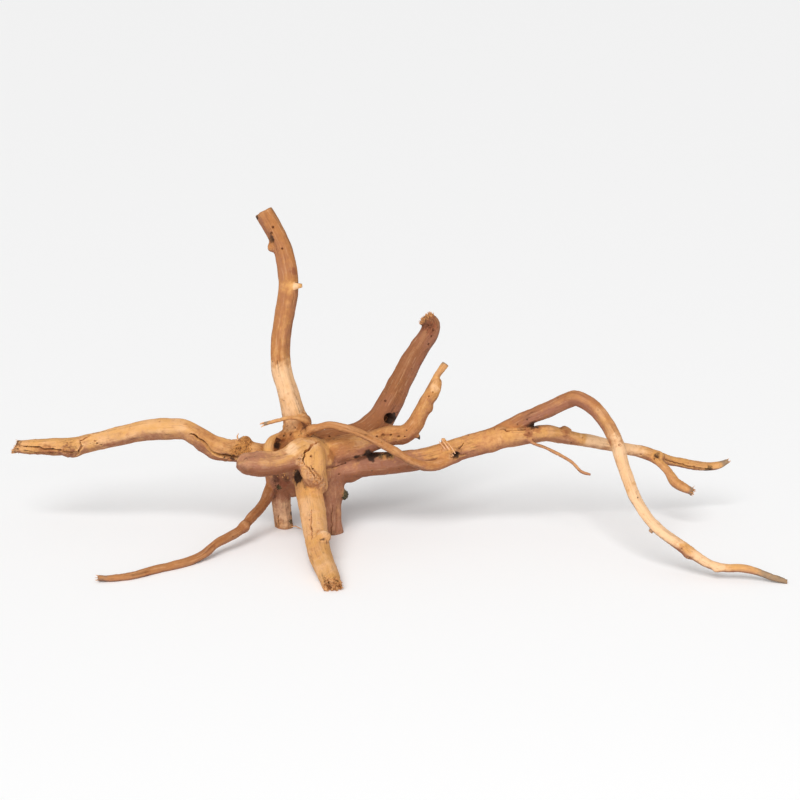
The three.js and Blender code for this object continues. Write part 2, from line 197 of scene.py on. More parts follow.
# Open cracks: half the width, the depth, and the line on the skin.
CRACKS = [
    (0.9, 5, [[-61, -6, 67], [-60, -2.4, 73], [-57.5, 0, 75], [-54.7, 5, 76.5], [-48, 18, 77]]),
    (1.1, 5, [[-149, 20, 82], [-141, 18, 77], [-132.6, 17.5, 68], [-127.6, 17.3, 65.5], [-112, 17, 62.8]]),
    (0.7, 3, [[-285, 39, 66.6], [-266, 36, 64.6], [-240, 33, 63.4]]),
    (0.7, 3, [[90, 24.6, 83.6], [93.6, 23.4, 84.6], [96, 22.4, 83.6], [99.6, 22.8, 83.8]]),
    (1.2, 4, [[100, 22.6, 83.8], [105, 22.8, 84], [111, 23.6, 84.8], [118, 25.4, 86.4]]),
    (0.8, 3, [[-84, 30, 12], [-84, 30.4, 6], [-83.7, 30.6, 0]]),
    (0.8, 2.4, [[-55, -19, 34], [-54.6, -24, 31], [-54, -38, 24], [-52, -48, 20]]),
    (0.6, 1.6, [[-65.6, -7.4, 69.7], [-63.4, -6, 68.9], [-61, -4.6, 68.6]]),
    (1.4, 4, [[-28, 21.2, 60.2], [-21.7, 21.7, 62.4], [-17, 22.3, 63.8], [-10, 23.4, 66]]),
    (0.6, 1.2, [[-41.8, 19.2, 55.9], [-36.5, 21.2, 56.1], [-31.1, 22.8, 56.4]]),
    (0.6, 1.4, [[-41, 19.5, 24.7], [-40.7, 18.7, 15.9], [-40.7, 17.4, 8.1], [-41.5, 16.1, 1.1]]),
    (0.5, 1, [[-37.6, 21.4, 22.4], [-36.9, 20, 11.3], [-37.6, 17.2, 2.4]]),
    (0.8, 2, [[-238, 33.6, 72.6], [-230.7, 34.6, 75.6], [-222, 34.7, 78.4]]),
    (0.7, 2, [[-283, 38, 62.5], [-270, 36, 60.6], [-258, 35, 60.6], [-249, 34, 59.6]]),
    (1.6, 6, [[-133, 18, 67.6], [-127, 17, 65.6], [-116, 16.8, 63.4], [-107, 17, 62.4]]),
    (0.6, 1.6, [[57, 24, 68], [60, 24, 71], [62, 24.6, 73]]),
    (0.6, 1.6, [[60, 23, 63], [65, 22.6, 63.6]]),
    (0.7, 1.6, [[221, 55, 51], [233, 59, 46], [246, 63.6, 41.4], [256, 67, 38.6], [266, 70, 37]]),
    (0.9, 2.4, [[-237.8, 33.6, 72.6], [-236, 32.5, 67.6], [-238.6, 33, 63.6], [-242.5, 35, 60.3]]),
    (0.7, 1.6, [[-60, -3, 66], [-56, -5, 60], [-52, -4, 54]]),
    (0.6, 1.2, [[-55.5, -4, 63], [-51, -5, 57], [-47, -2, 51]]),
]

# Worm holes: the place, the radius and the depth.
HOLES = [
    (3.8, 53.4, 85, 4.3, 7), (6.4, 54, 83.6, 3.2, 6), (56, 22.2, 63.6, 3.2, 4.5),
    (52.8, 23, 62.2, 1.4, 2), (31.8, 94.5, 157, 1.2, 2), (34, 92, 152, 1.1, 2),
    (39.8, 90.7, 148, 1.2, 2), (37, 89, 143, 0.9, 1.6), (-86, 48, 227.6, 1.5, 2.4),
    (-55.4, 0.2, 68.2, 1.0, 3), (-54.6, -2.2, 61.4, 0.9, 3), (-42.6, 34.6, 74.4, 0.9, 3),
    (-38.2, 25.1, 75.7, 1.0, 3), (-35.7, 20.2, 48.2, 0.8, 2.5), (-84.5, 47.5, 237.7, 1.1, 2),
    (-85.4, 47.8, 232.9, 1.1, 2), (-77.8, 45.3, 221.5, 0.9, 2), (-82.2, 34.6, 111.2, 0.9, 2),
    (-5.3, 22.9, 78.2, 1.0, 2), (0.1, 22.9, 79, 1.3, 2), (5.5, 22.8, 79.1, 0.9, 2),
    (11, 22.9, 79, 1.2, 2), (15.6, 23.4, 78.1, 0.8, 1.6), (38, 29.8, 112.5, 0.8, 1.4),
    (34.1, 28.6, 108.8, 0.8, 1.4), (35.5, 86.8, 137.4, 0.9, 2), (0.6, 59, 96.9, 1.1, 2),
    (112, 22.6, 81.4, 0.9, 1), (156.1, 38.2, 72.9, 0.7, 1.4), (203.9, 49.9, 55.4, 0.7, 1.4),
    (215.1, 49.1, 52.4, 0.8, 1.6), (245, 63.8, 44.5, 0.7, 1.2), (176.7, -2.9, 92.9, 1.0, 1.6),
    (177.9, -16.5, 83.1, 1.2, 1.8), (217.5, -70.7, 20.7, 0.7, 1.2), (222.7, -73.1, 15.4, 1.1, 1.8),
    (-172.9, -72.5, 1.2, 0.6, 0.8), (-40.4, -96, 8.8, 0.9, 2), (-37.4, -98.9, 9.2, 0.8, 2),
    (-224, 31.1, 71, 0.9, 2), (-174.2, 26.3, 89.3, 0.8, 1.6), (-225.9, 31.1, 72.2, 0.8, 1.6),
    (-221, 31.1, 69.3, 0.8, 1.6), (-75.9, 25.8, 83, 0.9, 1.2), (-72.6, 22.2, 79.2, 0.9, 1.2),
    (-68.7, 23, 85.4, 1.0, 1.2), (-65.6, 21.8, 79.4, 0.8, 1), (-77.1, 19.2, 80.1, 1.2, 1.4),
]

# What has happened to the wood, and where painted shade or painted light is laid on it: the place, how far it
# reaches and how strongly.
ZONES = {
    "cork": [
        (-107, 20, 76, 7, 1), (-112, 17, 70, 6.5, 1), (-107, 17, 69, 5, 0.7), (-116, 17, 68, 5, 0.6)],
    "bark": [
        (-63, -6, 67, 5, 0.8), (-59, -3, 61, 5, 1), (-54.5, -4.7, 56, 5, 1), (-50, -3.4, 51, 5, 1),
        (-46.5, 1, 46, 5, 0.8), (-78, 19, 48, 7, 0.55), (-70, 0, 57, 5, 0.6)],
    # Paler wood; at the left foot it is painted light that lifts the shadow of the club above it.
    "pale": [
        (-78, 36, 119, 21, 0.75), (-72, 34, 101, 15, 0.66), (-84, -2, 78, 10, 0.3),
        (-70, -4, 78, 9, 0.8), (180, -24, 70, 30, 0.75), (193, -44, 46, 24, 0.85),
        (205, -58, 31, 24, 0.9), (236, -75, 12, 20, 0.7), (-52, -30, 26, 26, 0.35),
        (-76, 25, 16, 18, 0.85), (-54, -14, 34, 16, 0.45), (-56, 6, 76, 9, 0.5),
        (-71, 26, 87, 10, 0.35), (-44, -46, 25, 5, 0.7), (-40, -82, 12, 18, 0.4),
        (-67.6, 41.6, 193.6, 3.6, 1), (39, 31, 115, 5, 0.5), (165, 45, 68, 16, 0.85),
        (190, 49, 62, 22, 0.7), (-18, 22, 76, 9, 0.35), (170, 0, 92, 26, 0.35),
        (-175, 28, 84, 36, 0.42), (-216, 34, 74, 28, 0.36)],
    # Rusty wood; past about 1 it turns to painted shade, as in the fork's crotch, beside the dome and on the back
    # arm.
    "rust": [
        (-73, 28, 82, 12, 0.4), (-265, 36, 61, 10, 0.7), (-250, 35, 61, 8, 0.8),
        (-140, 26, 76, 18, 0.7), (-80, 17, 76, 9, 0.8), (-86, 6, 78, 7, 0.4), (0, 58, 92, 16, 1),
        (-84, 32, 44, 10, 1.2), (-88, 28, 35, 9, 0.8), (45, 30, 62, 14, 0.6), (110, 23, 82, 5, 0.7),
        (142, 38, 80, 8, 0.9), (118, 25, 92, 12, 1.8), (-60, 18, 84, 9, 0.6), (-38, 17, 66, 8, 1.3),
        (-76, 10, 53, 9, 0.8), (30, 84, 118, 14, 1.8), (218, 54, 50, 8, 0.8)],
    # Rosy wood; along the long arm's underside it is also painted shade.
    "rosy": [
        (-101, -14, 66, 13, 1.1), (-92, -16, 62, 12, 1), (-79, 20, 44, 13, 1), (-78, 27, 26, 18, 0.9),
        (-42, 20, 24, 22, 0.9), (-32, 20, 50, 17, 0.9), (-68, -12, 61, 9, 0.8), (-10, 22, 60, 18, 0.9),
        (-76, 8, 55, 12, 0.8), (20, 24, 50, 24, 0.9), (-10, 22, 53, 14, 1.6), (1, 22, 52, 11, 1.5),
        (12, 23, 52, 13, 1.5), (30, 22, 55, 10, 1), (-300, 44, 60, 20, 0.4), (-45, 26, 18, 20, 0.8),
        (-79, 30, 8, 14, 0.9)],
    "grey": [
        (-292, 44, 64, 8, 0.4), (284, -85, 4, 20, 0.8), (280, 76, 41, 11, 0.8), (-92, 12, 92, 5, 1),
        (243, 33, 30, 6, 0.9), (-29.4, 25.6, 30, 5, 1.4), (-206, -84, 3, 12, 0.5),
        (48, 38, 133, 4, 0.7), (-112, 24, 79, 4, 0.7), (-95, 56, 249, 4, 0.6)],
    "moss": [
        (-82, 22, 37.5, 3.2, 0.9), (-2, 27, 61.4, 4, 0.6), (6, 27, 61, 3.6, 0.6), (-29.6, 25, 30, 5, 1),
        (-72, 32, 17, 4, 0.6), (-73, 33, 6, 4, 0.6)],
    # The wood's own dark blotches, and painted shade in the recess under the club, beside the dome and along the
    # long arm's underside.
    "stain_and_shade": [
        (-69, 44.6, 204, 4.4, 0.8), (-78, 34, 101, 4, 0.6), (-128.7, -34, 9, 4, 0.7),
        (-172, -72, 2, 5, 0.6), (-246, 33, 65, 7, 0.8), (141, 33, 78, 4, 0.8), (-72, 20, 78, 6, 0.5),
        (0, 24, 77, 8, 0.5), (30, 86, 122, 9, 0.8), (-84, 1, 66, 5, 0.3), (112, 22.6, 81.4, 5.4, 1.1),
        (56, 23, 64, 5, 0.6), (-286, 42, 66, 7, 0.6), (36, 92, 150, 8, 1), (-214, 31, 70, 6, 0.7),
        (-270, 36, 61, 8, 0.7), (-260, 34, 61, 8, 0.7), (-118, 18, 64, 6, 0.8), (-79, 20, 44, 9, 1.1),
        (-66, 14, 48, 8, 0.8), (-8, 21, 49, 17, 0.4), (-37, 18, 57, 9, 0.4), (28, 84, 118, 16, 0.35),
        (-132, 20, 75, 14, 0.25), (124, 24, 94, 12, 0.3)],
    # Painted shade in holes, cracks, recesses and the crotch of the fork, and dark rotted broken ends.
    "shade_and_rot": [
        (-13, 23, 65, 5, 0.9), (-21, 21.8, 62.4, 4, 0.8), (33, 95, 155, 4, 0.5), (-66, 13, 49, 8, 1),
        (-84, 23, 45, 6, 0.6), (-76, 19, 46, 6, 0.5), (-70.5, 31, 24, 4.2, 0.9),
        (-72, 33, 12, 4.2, 0.9), (-82, 18, 73, 5, 0.8), (-86.6, 48, 228, 5, 0.7),
        (4.4, 57.4, 84.2, 6.2, 1.6), (56.4, 25, 64, 3.6, 0.8), (-45.4, -49, 18, 4.6, 1.1),
        (-40, 16, 1, 5, 0.5), (-61, 22, 84, 4, 0.8), (-40, 20, 66, 6, 0.35), (-99, 52, 245, 4.4, 1),
        (-88, 48, 251, 3, 0.5), (-84, 27, 48, 5, 0.6), (-293, 42, 63, 8, 0.5), (-288, 41, 68, 5, 0.5),
        (27.5, 31, 75.5, 3, 1.2), (-63.6, 42.2, 193.6, 1.8, 1.2), (-124, 16.6, 65, 3.4, 0.75),
        (-117, 16.4, 63.6, 3.6, 0.9), (-110, 16.6, 62.6, 3.6, 0.9), (-9, 28, 62, 6.5, 0.95),
        (3, 30, 62, 6.5, 0.8), (12, 29, 62.4, 5, 0.5), (217.6, 52.6, 54, 4, 0.7),
        (262, 71, 37.4, 5, 0.7), (116, 27, 87, 6, 0.7), (106, 24, 84, 4, 0.5)],
    "fresh": [
        (48, 26, 69, 5, 1), (51.4, 24, 62, 3.6, 0.7), (-47, -46, 24, 4, 0.8)],
    "rough": [
        (33, 95, 154, 9, 1.2), (-72, 28, 82, 15, 0.8), (-248, 34, 65, 10, 0.9), (-262, 36, 63, 9, 0.5),
        (-78, 18, 44, 10, 0.8), (-58, -3, 60, 8, 0.6), (56, 24, 66, 8, 1), (-46, -46, 22, 7, 0.7),
        (-118, 20, 68, 12, 0.8), (0, 24, 76, 12, 0.5), (36, 94, 150, 9, 0.9), (-36, -98, 4, 9, 0.7),
        (-280, 40, 64, 12, 0.5), (-74, 8, 56, 10, 0.9), (142, 38, 80, 7, 0.7), (90, 26, 78, 10, 0.4)],
}

# How rosy and how rusty each limb is at the crown, and then at its tip. Rust past about 1 turns to painted shade,
# as on the back arm and where the upper fork starts.
TONES = {
    "tall_arm": ((0.2, 0.5), (0.4, 1.3)), "back_arm": ((0.3, 2.4), (0.6, 2.5)),
    "thumb": ((0.5, 0.9), (0.1, 0.7)), "thumb_twig": ((0.1, 0.6), (0.3, 0.6)),
    "long_arm": ((0.8, 0.6), (0.2, 0.5)), "upper_fork": ((0.6, 1.8), (0.5, -0.1)),
    "lower_fork": ((0.2, 0.4), (0.35, 0.4)), "side_twig": ((0.2, 0.6), (0.4, 0.8)),
    "splinter": ((0.3, 0), (0.4, 0)), "arm_spur": ((0, 0), (0, 0)),
    "lower_lip": ((0.6, 0.4), (0.6, 0.4)), "hair_root": ((0.7, 0.6), (0.7, 0.8)),
    "crossing_root": ((0.1, 0.9), (0.3, 1.0)), "wrap_twig": ((0.4, 1), (0.6, 0.5)),
    "club": ((0.1, 0.1), (1.0, 0.3)), "shoulder": ((0.1, 0.2), (0.3, 0.3)),
    "brow": ((0.1, 1), (0.1, 1)), "pocket_rim": ((0, 0.6), (0, 0.5)), "core": ((0.6, 0.7), (0.7, 0.7)),
    "left_foot": ((0.8, 0.2), (0.6, 0.1)), "foot_web": ((0.9, 0.3), (0.9, 0.3)),
    "right_foot": ((0.9, 0.4), (0.9, 0.3)), "heel": ((0.9, 0.5), (0.9, 0.4)),
    "front_leg": ((0.1, 0.3), (0.15, 0.3)), "left_arm": ((0.3, 0.5), (0.2, 0.15)),
    "left_root": ((0.3, 2), (0.5, 1.1)),
}

# Loose fibres: points on the line and the radius there.
FIBRES = [
    [[-73.4, 31, 2, 0.5], [-70, 30, 2.6, 0.4], [-67.4, 29.6, 1.4, 0.35], [-65.6, 29.2, 0.5, 0.3]],
    [[-89, 12.4, 92.4, 0.8], [-92, 12, 93, 0.6], [-94.6, 11.6, 92.2, 0.3]],
    [[-89, 12.4, 91.6, 0.8], [-92, 11, 90.8, 0.6], [-94, 10.6, 89.6, 0.3]],
    [[-89, 12.4, 92, 0.8], [-92.6, 13, 91.6, 0.5], [-95, 13.6, 91.2, 0.3]],
    [[-113, 22, 76, 0.8], [-113.6, 22, 79, 0.6], [-112.4, 21.6, 81.4, 0.3]],
    [[54, 22.4, 63, 0.5], [49.8, 24, 69, 0.9], [44.6, 27.6, 75.4, 0.35]],
    [[53, 22.4, 62.4, 0.5], [48, 25, 67.6, 0.8], [43, 28, 73, 0.3]],
    [[55.4, 22, 65, 0.4], [52.6, 22.8, 69.6, 0.7], [48.6, 25.6, 74, 0.3]],
]

# The wood's own colours, and then those of what has grown, rotted or broken on it. SHADE is painted shade, and
# MAUVE, UMBER and the black also paint shade under the limbs, in recesses and in holes and cracks; PALE also
# paints highlights on crests.
HONEY, AMBER, PALE = (0.68, 0.34, 0.105), (0.72, 0.37, 0.145), (0.88, 0.56, 0.32)
RUST, MAUVE, UMBER = (0.44, 0.17, 0.05), (0.36, 0.15, 0.095), (0.15, 0.055, 0.025)
WINE, SHADE, STRAW = (0.24, 0.06, 0.025), (0.22, 0.072, 0.026), (0.72, 0.42, 0.26)
CORK, FRESH, MOSS = (0.68, 0.31, 0.085), (0.88, 0.58, 0.33), (0.07, 0.062, 0.026)
WEATHERED, BLACK_ROT_AND_SHADE = (0.24, 0.175, 0.12), (0.02, 0.009, 0.005)


def noise(p, seed):
    """Smooth random values from -1 to 1 at the points p, one bump for each unit of length."""
    cell = np.floor(p).astype(np.int64)
    f = p - cell
    f = f * f * (3 - 2 * f)
    total = np.zeros(len(p))
    for corner in range(8):
        step = np.array([corner & 1, corner >> 1 & 1, corner >> 2 & 1])
        x, y, z = (cell + step).T
        mixed = (x * 374761393 + y * 668265263 + z * 2147483647 + seed * 1442695041) & 0xFFFFFFFF
        mixed = ((mixed ^ mixed >> 13) * 1274126177) & 0xFFFFFFFF
        mixed = ((mixed ^ mixed >> 16) * 2246822519) & 0xFFFFFFFF
        value = (mixed ^ mixed >> 15) / 2147483648 - 1
        total += value * np.prod(np.where(step, f, 1 - f), axis=1)
    return total


def wander(p, size, seed):
    """A crooked push in three directions for each of the points p, with waves of the size given."""
    return np.stack([noise(p / size, seed + i) for i in range(3)], 1)


def ease(start, stop, x):
    """Rises smoothly from 0 at start to 1 at stop."""
    t = np.clip((x - start) / (stop - start), 0, 1)
    return t * t * (3 - 2 * t)


class Limb:
    """One limb's centre line, finely stepped, with its radii and a frame that doesn't twist."""

    def __init__(self, number, name, end, soft, route):
        self.number, self.name, self.end, self.soft = number, name, end, soft
        route = np.array(route, float)
        ghost = np.vstack([2 * route[0] - route[1], route, 2 * route[-1] - route[-2]])
        rows = []
        for i in range(len(route) - 1):
            a, b, c, d = ghost[i : i + 4]
            steps = max(2, int(np.linalg.norm((c - b)[:3]) / LIMB_STEP))
            t = np.linspace(0, 1, steps, endpoint=False)[:, None]
            bend = 2 * a - 5 * b + 4 * c - d
            turn = 3 * b - a - 3 * c + d
            rows.append(0.5 * (2 * b + (c - a) * t + bend * t**2 + turn * t**3))
        rows.append(route[-1:])
        line = np.vstack(rows)
        self.points, self.radii = line[:, :3], line[:, 3]
        along = np.gradient(self.points, axis=0)
        self.along = along / np.linalg.norm(along, axis=1)[:, None]
        self.far = np.concatenate([[0], np.cumsum(np.linalg.norm(np.diff(self.points, axis=0), axis=1))])
        across = np.cross(self.along[0], [1, 0, 0] if abs(self.along[0][1]) > 0.7 else [0, 1, 0])
        sides = []
        for t in self.along:
            across = across - t * (across @ t)
            across /= np.linalg.norm(across)
            sides.append(across)
        self.across = np.array(sides)
        self.up = np.cross(self.across, self.along)
        self.slant = np.array(SLANTS.get(name, (0, 0, 0)), float)
        reach = self.radii.max() + 14
        self.lowest, self.highest = self.points.min(0) - reach, self.points.max(0) + reach

    def near(self, p):
        """Which of the points p are close enough to this limb to matter."""
        return np.flatnonzero(((p > self.lowest) & (p < self.highest)).all(1))

    def measure(self, p):
        """Distance from the skin, way out of the skin, grain place and share of length at the points p."""
        best = np.empty(len(p), int)
        for start in range(0, len(p), BATCH):
            part = p[start : start + BATCH]
            apart = (part**2).sum(1)[:, None] - 2 * part @ self.points.T + (self.points**2).sum(1)
            best[start : start + BATCH] = apart.argmin(1)
        gap = p - self.points[best]
        past = (gap * self.along[best]).sum(1)
        on = np.clip(past, -0.9, 0.9)
        centre = self.points[best] + self.along[best] * on[:, None]
        off = p - centre
        a, b = (off * self.across[best]).sum(1), (off * self.up[best]).sum(1)
        far = self.far[best] + on
        radius = np.interp(far, self.far, self.radii)
        turn = np.arctan2(b, a)
        phase = self.number * 1.7 + 0.012 * far
        skin = radius * (1 + 0.05 * np.sin(3 * turn + phase) + 0.03 * np.sin(5 * turn - 2 * phase))
        length = np.linalg.norm(off, axis=1)
        outward = off / np.maximum(length, 1e-6)[:, None]
        grain = np.stack([a, b, far], 1)
        if self.end == "worn":
            return length - skin, outward, grain, far / self.far[-1]
        tube = np.hypot(a, b)
        sideways = self.across[best] * a[:, None] + self.up[best] * b[:, None]
        sideways /= np.maximum(tube, 1e-6)[:, None]
        cut = np.where(best == len(self.points) - 1, past, -20.0)
        if self.end == "broken":
            around = np.stack([a, b, np.full(len(a), float(self.number))], 1)
            ragged = 0.26 * noise(around * 0.45, 5) + 0.3 * noise(around * 1.1, 6)
            cut = cut - radius * (0.1 + ragged * (0.35 if self.slant.any() else 1)) + off @ self.slant
        wall = np.where(best == 0, length - skin, tube - skin)
        h = np.clip(0.5 - 0.5 * (wall - cut) / 0.9, 0, 1)
        distance = wall * (1 - h) + cut * h + 0.9 * h * (1 - h)
        out = sideways * (1 - h)[:, None] + self.along[best] * h[:, None]
        out[best == 0] = outward[best == 0]
        return distance, out, grain, far / self.far[-1]


COURSES = [Limb(i, name, *spec) for i, (name, spec) in enumerate(LIMBS.items())]


def ellipsoid(p, middle, radii):
    """Distance from an ellipsoid's skin and the way out of it, near enough for soft joining."""
    q = (p - middle) / radii
    size = np.maximum(np.linalg.norm(q, axis=1), 1e-6)
    way = q / radii
    steep = np.maximum(np.linalg.norm(way, axis=1), 1e-6)
    return size * (size - 1) / steep, way / steep[:, None]


def merge(one, way_one, two, way_two, soft):
    """Soft union of two distances, with the way out blended in the same shares."""
    h = np.clip(0.5 + 0.5 * (two - one) / soft, 0, 1)
    share = h[:, None]
    return two * (1 - h) + one * h - soft * h * (1 - h) * 0.6, way_two * (1 - share) + way_one * share


def grown(p):
    """The soft union of all limbs and knots, less the hollows: distance and way out at the points p."""
    whole = np.full(len(p), 50.0)
    out = np.zeros((len(p), 3))
    for course in COURSES:
        near = course.near(p)
        distance, way, _, _ = course.measure(p[near])
        whole[near], out[near] = merge(whole[near], out[near], distance, way, course.soft)
    for x, y, z, rx, ry, rz, soft in KNOTS:
        distance, way = ellipsoid(p, (x, y, z), (rx, ry, rz))
        whole, out = merge(whole, out, distance, way, soft)
    for x, y, z, rx, ry, rz in HOLLOWS:
        distance, way = ellipsoid(p, (x, y, z), (rx, ry, rz))
        distance = distance + 0.8 * noise(p / 1.9, 51)
        carved, turned = merge(-whole, -out, distance, way, 1.4)
        whole, out = -carved, -turned
    return whole, out


def settle(p, rounds):
    """Moves the points p onto the grown skin."""
    for _ in range(rounds):
        distance, out = grown(p)
        steep = np.maximum((out**2).sum(1), 0.15)
        p = p - out * np.clip(distance / steep, -2.5, 2.5)[:, None]
    return p


class Signal:
    """A socket to reckon with: sums and products of values add Math nodes."""

    def __init__(self, board, socket):
        self.board, self.socket = board, socket

    def sum_node(self, how, first, second):
        return self.board.node("ShaderNodeMath", {"operation": how}, {0: first, 1: second})

    def __add__(self, other):
        return self.sum_node("ADD", self, other)

    def __radd__(self, other):
        return self.sum_node("ADD", other, self)

    def __sub__(self, other):
        return self.sum_node("SUBTRACT", self, other)

    def __rsub__(self, other):
        return self.sum_node("SUBTRACT", other, self)

    def __mul__(self, other):
        return self.sum_node("MULTIPLY", self, other)

    def __rmul__(self, other):
        return self.sum_node("MULTIPLY", other, self)


class Board:
    """A node tree being wired: one method makes any node and gives back one of its sockets."""

    def __init__(self, tree):
        self.tree = tree

    def feed(self, socket, value):
        if isinstance(value, Signal):
            self.tree.links.new(value.socket, socket)
        else:
            socket.default_value = value

    def node(self, kind, settings=None, inputs=None, out=0):
        made = self.tree.nodes.new(kind)
        for name, value in (settings or {}).items():
            setattr(made, name, value)
        for key, value in (inputs or {}).items():
            self.feed(made.inputs[key], value)
        return Signal(self, made.outputs[out])

    def blend(self, share, one, two):
        """One colour turning into another where the share nears 1."""
        one = one if isinstance(one, Signal) else (*one, 1)
        two = two if isinstance(two, Signal) else (*two, 1)
        return self.node("ShaderNodeMix", {"data_type": "RGBA"}, {0: share, 6: one, 7: two}, out=2)

    def rise(self, value, start, stop):
        """0 before start and 1 after stop, smoothly between."""
        inputs = {"Value": value, "From Min": start, "From Max": stop}
        return self.node("ShaderNodeMapRange", {"interpolation_type": "SMOOTHSTEP"}, inputs)

    def stretch(self, vector, by):
        return self.node("ShaderNodeVectorMath", {"operation": "MULTIPLY"}, {0: vector, 1: by})

    def speckle(self, vector, by, detail=4, rough=0.55):
        """Cloudy noise over a vector stretched by the three numbers."""
        inputs = {"Vector": self.stretch(vector, by), "Scale": 1, "Detail": detail, "Roughness": rough}
        return self.node("ShaderNodeTexNoise", {}, inputs)

    def most(self, one, two):
        return self.node("ShaderNodeMath", {"operation": "MAXIMUM"}, {0: one, 1: two})


def finish(name, roughness):
    """A new material with its board and its shader node."""
    material = bpy.data.materials.new(name)
    material.use_nodes = True
    shader = material.node_tree.nodes["Principled BSDF"]
    shader.inputs["Roughness"].default_value = roughness
    shader.inputs["Specular IOR Level"].default_value = 0.3
    return material, Board(material.node_tree), shader


def three(board, name):
    """The three values kept in one attribute of the skin."""
    vector = board.node("ShaderNodeAttribute", {"attribute_name": name}, out="Vector")
    split = board.node("ShaderNodeSeparateXYZ", {}, {"Vector": vector}).socket.node
    return [Signal(board, socket) for socket in split.outputs]


